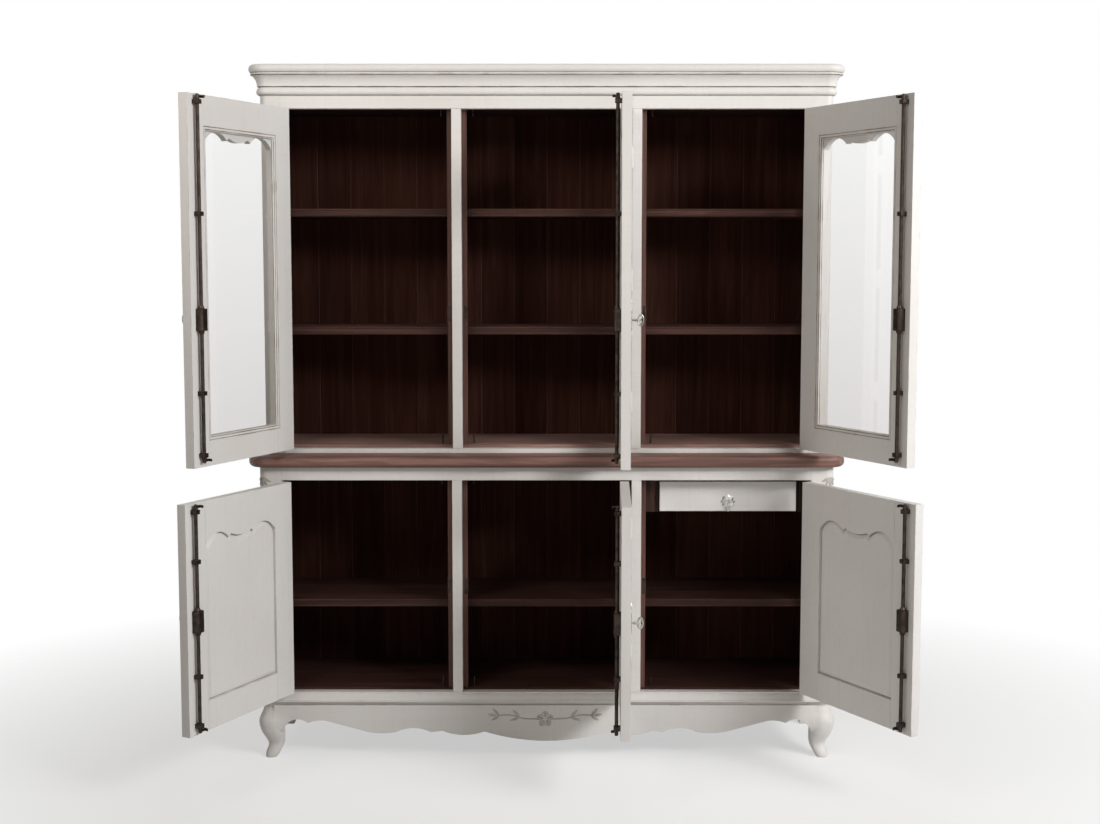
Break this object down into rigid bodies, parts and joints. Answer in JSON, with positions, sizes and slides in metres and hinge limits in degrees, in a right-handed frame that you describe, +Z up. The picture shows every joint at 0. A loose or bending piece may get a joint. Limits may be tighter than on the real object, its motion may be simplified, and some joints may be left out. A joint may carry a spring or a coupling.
{
  "type": "buffet hutch",
  "caption": "Painted hutch: a glazed cabinet with scalloped doors on a panelled base with a wood counter, bolt rods turned by keys, an inner drawer and cabriole legs.",
  "frame": {"origin": "on the floor, below the middle of the box that holds the object with its doors as they stand open", "axes": "+X to the right seen from the front, +Y to the back, +Z up"},
  "size_m": [2.0266, 0.9039, 2.072],
  "materials": {
    "white_paint": "satin antique white paint, lightly worn",
    "interior_wood": "dark brown stain, satin",
    "counter_wood": "reddish brown stain, waxed",
    "glass": "clear",
    "bronze": "dark bronze patina",
    "silver": "aged pewter"
  },
  "bodies": {
    "cabinet": {"cornice": "white_paint", "upper_face_frame": "white_paint", "upper_side_panels": "white_paint", "upper_top_board": "interior_wood", "upper_floor_board": "interior_wood", "upper_back_boards": "interior_wood", "upper_dividers": "interior_wood", "upper_shelves": "interior_wood", "countertop": "counter_wood", "lower_face_frame": "white_paint", "lower_side_panels": "white_paint", "lower_top_board": "interior_wood", "lower_floor_board": "interior_wood", "lower_back_boards": "interior_wood", "lower_dividers": "interior_wood", "lower_shelves": "interior_wood", "waist_moulding": "white_paint", "front_apron": "white_paint", "side_aprons": "white_paint", "front_legs": "white_paint", "rear_legs": "white_paint", "stop_strips": "interior_wood", "bolt_catches": "bronze", "hinge_leaves_and_pins": "bronze", "drawer_guides": "interior_wood"},
    "drawer": {"drawer_front": "white_paint", "drawer_sides": "interior_wood", "drawer_bottom": "interior_wood", "pull_rosette": "silver"},
    "pull": {"pull_drop": "silver"},
    "upper_left_door": {"upper_left_door_frame": "white_paint", "upper_left_door_glass": "glass", "upper_left_door_fittings": "bronze"},
    "upper_left_bolt": {"upper_left_bolt_rod": "bronze"},
    "upper_left_key": {"upper_left_key": "silver"},
    "upper_middle_door": {"upper_middle_door_frame": "white_paint", "upper_middle_door_glass": "glass", "upper_middle_door_fittings": "bronze"},
    "upper_middle_bolt": {"upper_middle_bolt_rod": "bronze"},
    "upper_middle_key": {"upper_middle_key": "silver"},
    "upper_right_door": {"upper_right_door_frame": "white_paint", "upper_right_door_glass": "glass", "upper_right_door_fittings": "bronze"},
    "upper_right_bolt": {"upper_right_bolt_rod": "bronze"},
    "upper_right_key": {"upper_right_key": "silver"},
    "lower_left_door": {"lower_left_door_frame": "white_paint", "lower_left_door_panel": "white_paint", "lower_left_door_fittings": "bronze"},
    "lower_left_bolt": {"lower_left_bolt_rod": "bronze"},
    "lower_left_key": {"lower_left_key": "silver"},
    "lower_middle_door": {"lower_middle_door_frame": "white_paint", "lower_middle_door_panel": "white_paint", "lower_middle_door_fittings": "bronze"},
    "lower_middle_bolt": {"lower_middle_bolt_rod": "bronze"},
    "lower_middle_key": {"lower_middle_key": "silver"},
    "lower_right_door": {"lower_right_door_frame": "white_paint", "lower_right_door_panel": "white_paint", "lower_right_door_fittings": "bronze"},
    "lower_right_bolt": {"lower_right_bolt_rod": "bronze"},
    "lower_right_key": {"lower_right_key": "silver"}
  },
  "joints": [
    {"name": "upper_left_door_hinge", "type": "hinge", "parent": "cabinet", "child": "upper_left_door", "pos_m": [-0.7865, 0.105, 1.4405], "axis": [0, 0, -1], "range_deg": [-113, 52]},
    {"name": "upper_left_bolt_turn", "type": "hinge", "parent": "upper_left_door", "child": "upper_left_bolt", "pos_m": [-0.92931, -0.3466, 1.4405], "axis": [0, 0, -1], "range_deg": [0, 60]},
    {"name": "upper_left_key_turn", "type": "hinge", "parent": "upper_left_door", "child": "upper_left_key", "pos_m": [-0.95921, -0.31979, 1.34], "axis": [0.9205, -0.3907, 0], "range_deg": [0, 90]},
    {"name": "upper_middle_door_hinge", "type": "hinge", "parent": "cabinet", "child": "upper_middle_door", "pos_m": [0.2515, 0.105, 1.4405], "axis": [0, 0, 1], "range_deg": [-88, 12]},
    {"name": "upper_middle_bolt_turn", "type": "hinge", "parent": "upper_middle_door", "child": "upper_middle_bolt", "pos_m": [0.19007, -0.36464, 1.4405], "axis": [0, 0, 1], "range_deg": [0, 60]},
    {"name": "upper_middle_key_turn", "type": "hinge", "parent": "upper_middle_door", "child": "upper_middle_key", "pos_m": [0.2285, -0.35298, 1.34], "axis": [-0.9994, 0.0349, 0], "range_deg": [0, 90]},
    {"name": "upper_right_door_hinge", "type": "hinge", "parent": "cabinet", "child": "upper_right_door", "pos_m": [0.7865, 0.105, 1.4405], "axis": [0, 0, 1], "range_deg": [-116, 49]},
    {"name": "upper_right_bolt_turn", "type": "hinge", "parent": "upper_right_door", "child": "upper_right_bolt", "pos_m": [0.95275, -0.33851, 1.4405], "axis": [0, 0, 1], "range_deg": [0, 60]},
    {"name": "upper_right_key_turn", "type": "hinge", "parent": "upper_right_door", "child": "upper_right_key", "pos_m": [0.9812, -0.31017, 1.34], "axis": [-0.8988, -0.4384, 0], "range_deg": [0, 90]},
    {"name": "lower_left_door_hinge", "type": "hinge", "parent": "cabinet", "child": "lower_left_door", "pos_m": [-0.7865, 0.05, 0.5265], "axis": [0, 0, -1], "range_deg": [-115, 50]},
    {"name": "lower_left_bolt_turn", "type": "hinge", "parent": "lower_left_door", "child": "lower_left_bolt", "pos_m": [-0.94498, -0.39634, 0.5265], "axis": [0, 0, -1], "range_deg": [0, 60]},
    {"name": "lower_left_key_turn", "type": "hinge", "parent": "lower_left_door", "child": "lower_left_key", "pos_m": [-0.97393, -0.3685, 0.523], "axis": [0.9063, -0.4226, 0], "range_deg": [0, 90]},
    {"name": "lower_middle_door_hinge", "type": "hinge", "parent": "cabinet", "child": "lower_middle_door", "pos_m": [0.2515, 0.05, 0.5265], "axis": [0, 0, 1], "range_deg": [-88, 12]},
    {"name": "lower_middle_bolt_turn", "type": "hinge", "parent": "lower_middle_door", "child": "lower_middle_bolt", "pos_m": [0.19007, -0.41964, 0.5265], "axis": [0, 0, 1], "range_deg": [0, 60]},
    {"name": "lower_middle_key_turn", "type": "hinge", "parent": "lower_middle_door", "child": "lower_middle_key", "pos_m": [0.2285, -0.40798, 0.523], "axis": [-0.9994, 0.0349, 0], "range_deg": [0, 90]},
    {"name": "lower_right_door_hinge", "type": "hinge", "parent": "cabinet", "child": "lower_right_door", "pos_m": [0.7865, 0.05, 0.5265], "axis": [0, 0, 1], "range_deg": [-118, 47]},
    {"name": "lower_right_bolt_turn", "type": "hinge", "parent": "lower_right_door", "child": "lower_right_bolt", "pos_m": [0.96812, -0.38744, 0.5265], "axis": [0, 0, 1], "range_deg": [0, 60]},
    {"name": "lower_right_key_turn", "type": "hinge", "parent": "lower_right_door", "child": "lower_right_key", "pos_m": [0.99557, -0.35812, 0.523], "axis": [-0.8829, -0.4695, 0], "range_deg": [0, 90]},
    {"name": "drawer_slide", "type": "slide", "parent": "cabinet", "child": "drawer", "axis": [0, -1, 0], "range_m": [0, 0.25]},
    {"name": "pull_swing", "type": "hinge", "parent": "drawer", "child": "pull", "pos_m": [0.545, 0.095, 0.778], "axis": [-1, 0, 0], "range_deg": [0, 80]}
  ],
  "couplings": [
    {"joint": "upper_left_key_turn", "follows": "upper_left_bolt_turn", "ratio": 1.5},
    {"joint": "upper_middle_key_turn", "follows": "upper_middle_bolt_turn", "ratio": 1.5},
    {"joint": "upper_right_key_turn", "follows": "upper_right_bolt_turn", "ratio": 1.5},
    {"joint": "lower_left_key_turn", "follows": "lower_left_bolt_turn", "ratio": 1.5},
    {"joint": "lower_middle_key_turn", "follows": "lower_middle_bolt_turn", "ratio": 1.5},
    {"joint": "lower_right_key_turn", "follows": "lower_right_bolt_turn", "ratio": 1.5}
  ]
}
